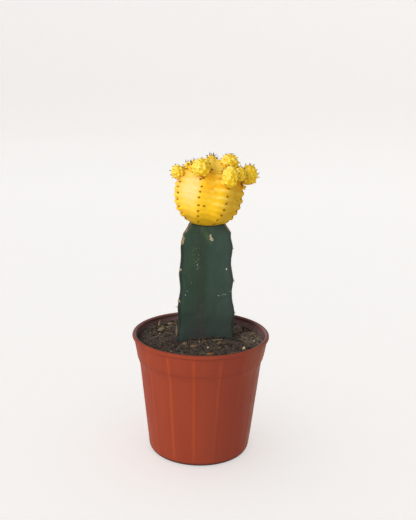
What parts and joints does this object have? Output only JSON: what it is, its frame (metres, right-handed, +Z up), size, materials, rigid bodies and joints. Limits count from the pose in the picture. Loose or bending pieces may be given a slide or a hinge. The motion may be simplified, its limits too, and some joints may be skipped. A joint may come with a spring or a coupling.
{
  "type": "potted moon cactus",
  "caption": "Yellow moon cactus with a crown of offsets, grafted on a three-ribbed green rootstock, growing in soil in a tapered plastic nursery pot.",
  "frame": {"origin": "middle of the pot's foot, at the level of the surface it stands on", "axes": "+Z up along the pot's axis; -Y is the front, the side the rootstock shows a wide face between two ribs"},
  "size_m": [0.085, 0.085, 0.1867],
  "materials": {
    "terracotta_plastic": "satin",
    "potting_soil": "matte",
    "rootstock_skin": "satin",
    "scion_skin": "satin",
    "offset_skin": "satin",
    "bark": "matte",
    "perlite": "matte",
    "straw": "matte"
  },
  "bodies": {
    "root": {"pot": "terracotta_plastic", "soil": "potting_soil", "rootstock": "rootstock_skin", "scion": "scion_skin", "offset_left": "offset_skin", "offset_left_rear": "offset_skin", "offset_front": "offset_skin", "offset_crown_right": "offset_skin", "offset_front_right": "offset_skin", "offset_right": "offset_skin", "offset_far_right": "offset_skin", "offset_bud": "offset_skin", "offset_rear_right": "offset_skin", "offset_rear": "offset_skin", "offset_rear_left": "offset_skin", "offset_crown_rear": "offset_skin", "offset_low_left": "offset_skin", "offset_low_right": "offset_skin", "bark_chip_1": "bark", "bark_chip_2": "bark", "bark_chip_3": "bark", "bark_chip_4": "bark", "bark_chip_5": "bark", "bark_chip_6": "bark", "bark_chip_7": "bark", "bark_chip_8": "bark", "bark_chip_9": "bark", "bark_chip_10": "bark", "bark_chip_11": "bark", "perlite_grain_1": "perlite", "perlite_grain_2": "perlite", "perlite_grain_3": "perlite", "perlite_grain_4": "perlite", "perlite_grain_5": "perlite", "perlite_grain_6": "perlite", "perlite_grain_7": "perlite", "straw_1": "straw", "straw_2": "straw", "straw_3": "straw"}
  },
  "joints": []
}
